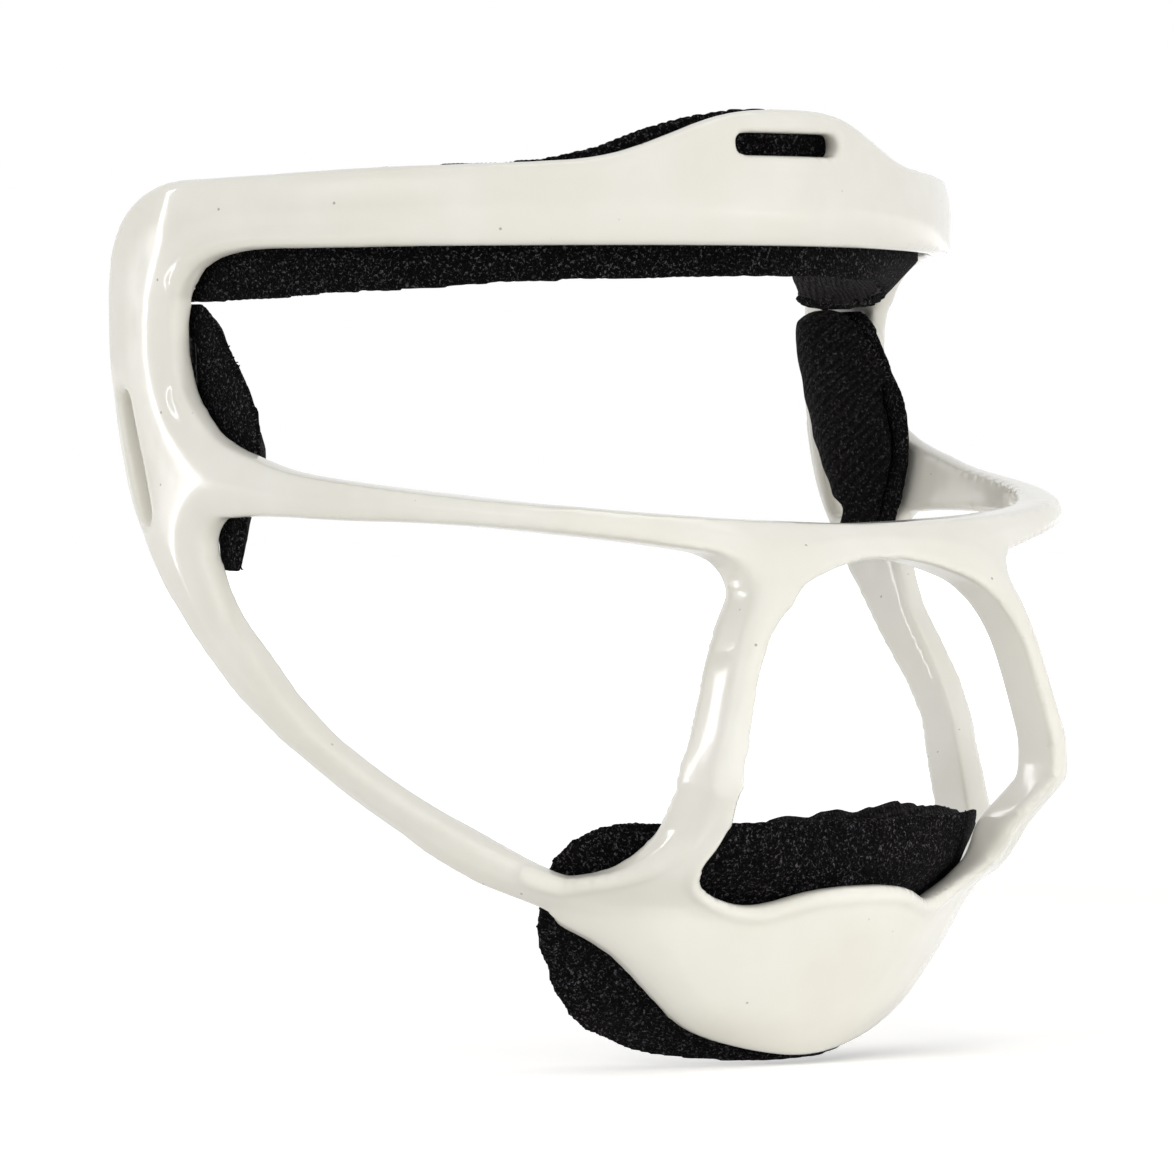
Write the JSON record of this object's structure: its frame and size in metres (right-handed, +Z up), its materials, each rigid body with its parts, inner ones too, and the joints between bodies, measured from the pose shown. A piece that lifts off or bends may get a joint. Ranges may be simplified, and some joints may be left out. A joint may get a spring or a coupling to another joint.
{
  "type": "softball face guard",
  "caption": "Open-front softball face guard: a moulded frame with a forehead band, cheek bar, struts and chin plate, and pads that pull off hook patches.",
  "frame": {"origin": "on the middle plane at temple level, in line with the front edge of the uprights: the point that the wearer's head holds", "axes": "+Z up, -Y forward out of the wearer's face, +X to the wearer's left"},
  "size_m": [0.182, 0.1398, 0.1861],
  "materials": {
    "frame_plastic": "moulded gloss, warm off-white",
    "hook_tape": "black nylon hook tape",
    "loop_fabric": "black brushed loop fabric",
    "foam": "black open-cell foam",
    "cover_fabric": "black ribbed knit"
  },
  "bodies": {
    "frame": {"face_frame": "frame_plastic", "forehead_hook_center": "hook_tape", "forehead_hook_left": "hook_tape", "forehead_hook_right": "hook_tape", "temple_hook_left": "hook_tape", "temple_hook_right": "hook_tape", "chin_hook_left": "hook_tape", "chin_hook_right": "hook_tape"},
    "forehead_pad": {"forehead_pad_loop_backing": "loop_fabric", "forehead_pad_foam_core": "foam", "forehead_pad_cover": "cover_fabric"},
    "chin_pad": {"chin_pad_loop_backing": "loop_fabric", "chin_pad_foam_core": "foam", "chin_pad_cover": "cover_fabric"},
    "left_temple_pad": {"left_temple_pad_loop_backing": "loop_fabric", "left_temple_pad_foam_core": "foam", "left_temple_pad_cover": "cover_fabric"},
    "right_temple_pad": {"right_temple_pad_loop_backing": "loop_fabric", "right_temple_pad_foam_core": "foam", "right_temple_pad_cover": "cover_fabric"}
  },
  "joints": [
    {"name": "forehead_pad_pull", "type": "slide", "parent": "frame", "child": "forehead_pad", "axis": [0, 1, 0], "range_m": [0, 0.11]},
    {"name": "chin_pad_pull", "type": "slide", "parent": "frame", "child": "chin_pad", "axis": [0, 1, 0], "range_m": [0, 0.1]},
    {"name": "left_temple_pad_pull", "type": "slide", "parent": "frame", "child": "left_temple_pad", "axis": [-0.5, 0.866, 0], "range_m": [0, 0.07]},
    {"name": "right_temple_pad_pull", "type": "slide", "parent": "frame", "child": "right_temple_pad", "axis": [0.5, 0.866, 0], "range_m": [0, 0.07]}
  ]
}
